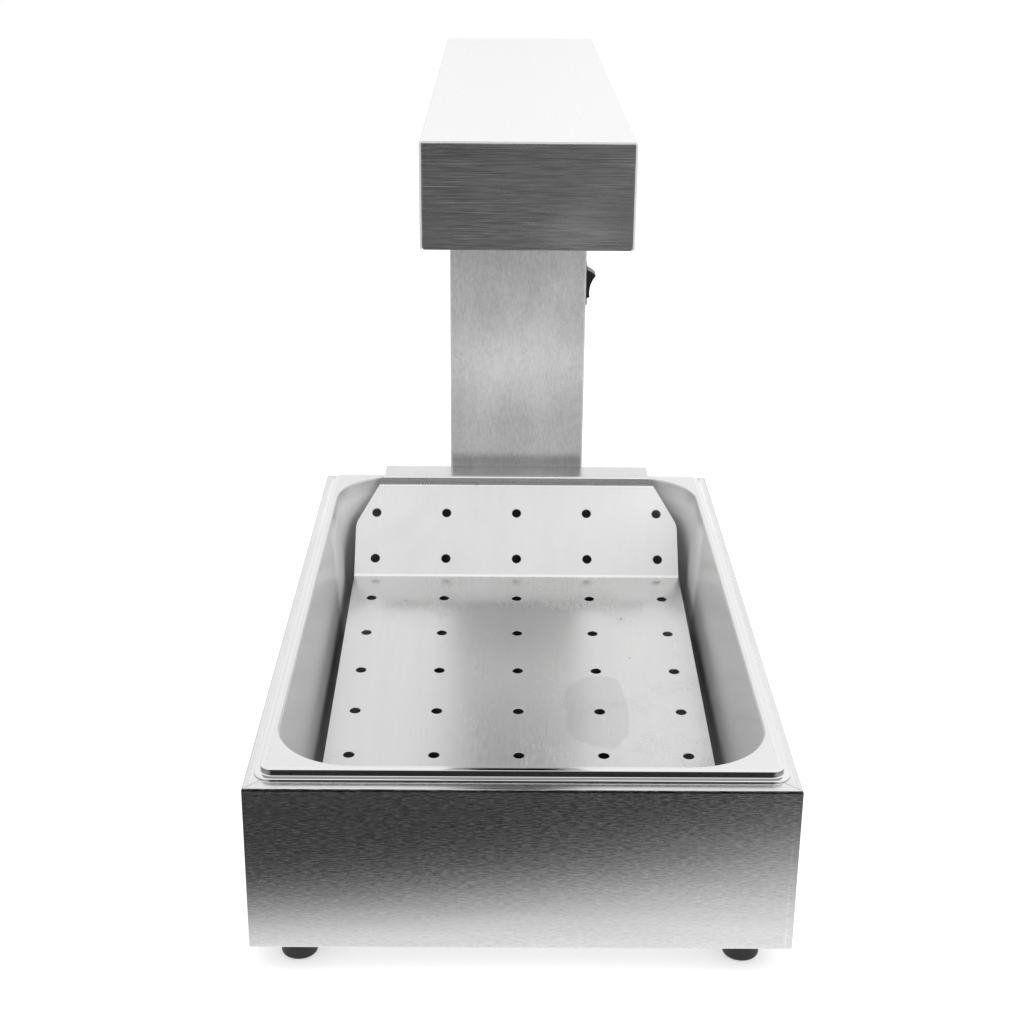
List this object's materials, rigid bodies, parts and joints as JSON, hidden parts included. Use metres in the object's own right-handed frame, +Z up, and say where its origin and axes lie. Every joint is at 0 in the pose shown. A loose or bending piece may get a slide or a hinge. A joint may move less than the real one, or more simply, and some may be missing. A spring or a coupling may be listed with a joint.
{
  "type": "fry warmer",
  "caption": "Countertop fry warmer: a rimmed food pan with a perforated drain insert in an open steel base, under a heated head on a rear column.",
  "frame": {"origin": "on the ground under the middle of the whole object's box, between the base's front face and the cable gland's outer end", "axes": "+Z up, +Y from the front of the base to the column behind it, +X to the right as seen from the front"},
  "size_m": [0.335, 0.62, 0.502],
  "materials": {
    "body_steel": "fine horizontal brushing, satin",
    "column_steel": "brushed along its height, light handling marks",
    "head_steel": "fine brushing along its length",
    "head_cap_steel": "coarse horizontal brushing",
    "plate_steel": "plain mill finish",
    "pan_steel": "smooth satin, drawn",
    "insert_steel": "fine brushing front to back, smudged",
    "reflector_polish": "polished",
    "element_sheath": "heat-tinted sheath",
    "guard_wire": "bright wire",
    "fastener_zinc": "bright zinc",
    "foot_rubber": "matt black rubber",
    "black_plastic": "fine-grained moulded plastic",
    "rocker_plastic": "smooth moulded plastic",
    "ceramic": "unglazed ceramic",
    "brass": "plain brass",
    "lead_brown": "silicone sleeve",
    "lead_black": "silicone sleeve",
    "lead_blue": "silicone sleeve",
    "lead_green": "silicone sleeve"
  },
  "bodies": {
    "base": {"base_shell": "body_steel", "base_bottom_plate": "plate_steel", "bottom_plate_screws": "fastener_zinc", "foot_front_left": "foot_rubber", "foot_front_right": "foot_rubber", "foot_rear_left": "foot_rubber", "foot_rear_right": "foot_rubber", "foot_screws": "fastener_zinc", "foot_nuts": "fastener_zinc", "column_channel": "column_steel", "column_rear_cover": "column_steel", "column_cover_screws": "fastener_zinc", "column_bolts": "fastener_zinc", "column_nuts": "fastener_zinc", "cable_gland": "black_plastic", "gland_locknut": "black_plastic", "terminal_block": "ceramic", "terminal_block_nuts": "fastener_zinc", "earth_nut": "brass", "lead_supply": "lead_brown", "lead_switched": "lead_black", "lead_neutral": "lead_blue", "lead_earth": "lead_green", "switch_housing": "black_plastic", "switch_blades": "brass", "head_shell": "head_steel", "head_front_cap": "head_cap_steel", "head_rear_cap": "head_steel", "head_cap_screws": "fastener_zinc", "head_rivet_nuts": "fastener_zinc", "head_fixing_screws": "fastener_zinc", "reflector": "reflector_polish", "heating_element": "element_sheath", "element_insulators": "ceramic", "element_terminals": "brass", "element_brackets": "plate_steel", "bracket_screws": "fastener_zinc", "bracket_nuts": "fastener_zinc", "wire_guard": "guard_wire", "guard_clips": "plate_steel", "guard_screws": "fastener_zinc", "guard_nuts": "fastener_zinc"},
    "pan": {"food_pan": "pan_steel"},
    "insert": {"drain_insert": "insert_steel"},
    "rocker": {"switch_rocker": "rocker_plastic"}
  },
  "joints": [
    {"name": "pan_lift", "type": "slide", "parent": "base", "child": "pan", "axis": [0, 0, 1], "range_m": [0, 0.115]},
    {"name": "insert_lift", "type": "slide", "parent": "pan", "child": "insert", "axis": [0, 0, 1], "range_m": [0, 0.115]},
    {"name": "rocker_tilt", "type": "hinge", "parent": "base", "child": "rocker", "pos_m": [0.0569, 0.2655, 0.2995], "axis": [0, -1, 0], "range_deg": [0, 30]}
  ]
}
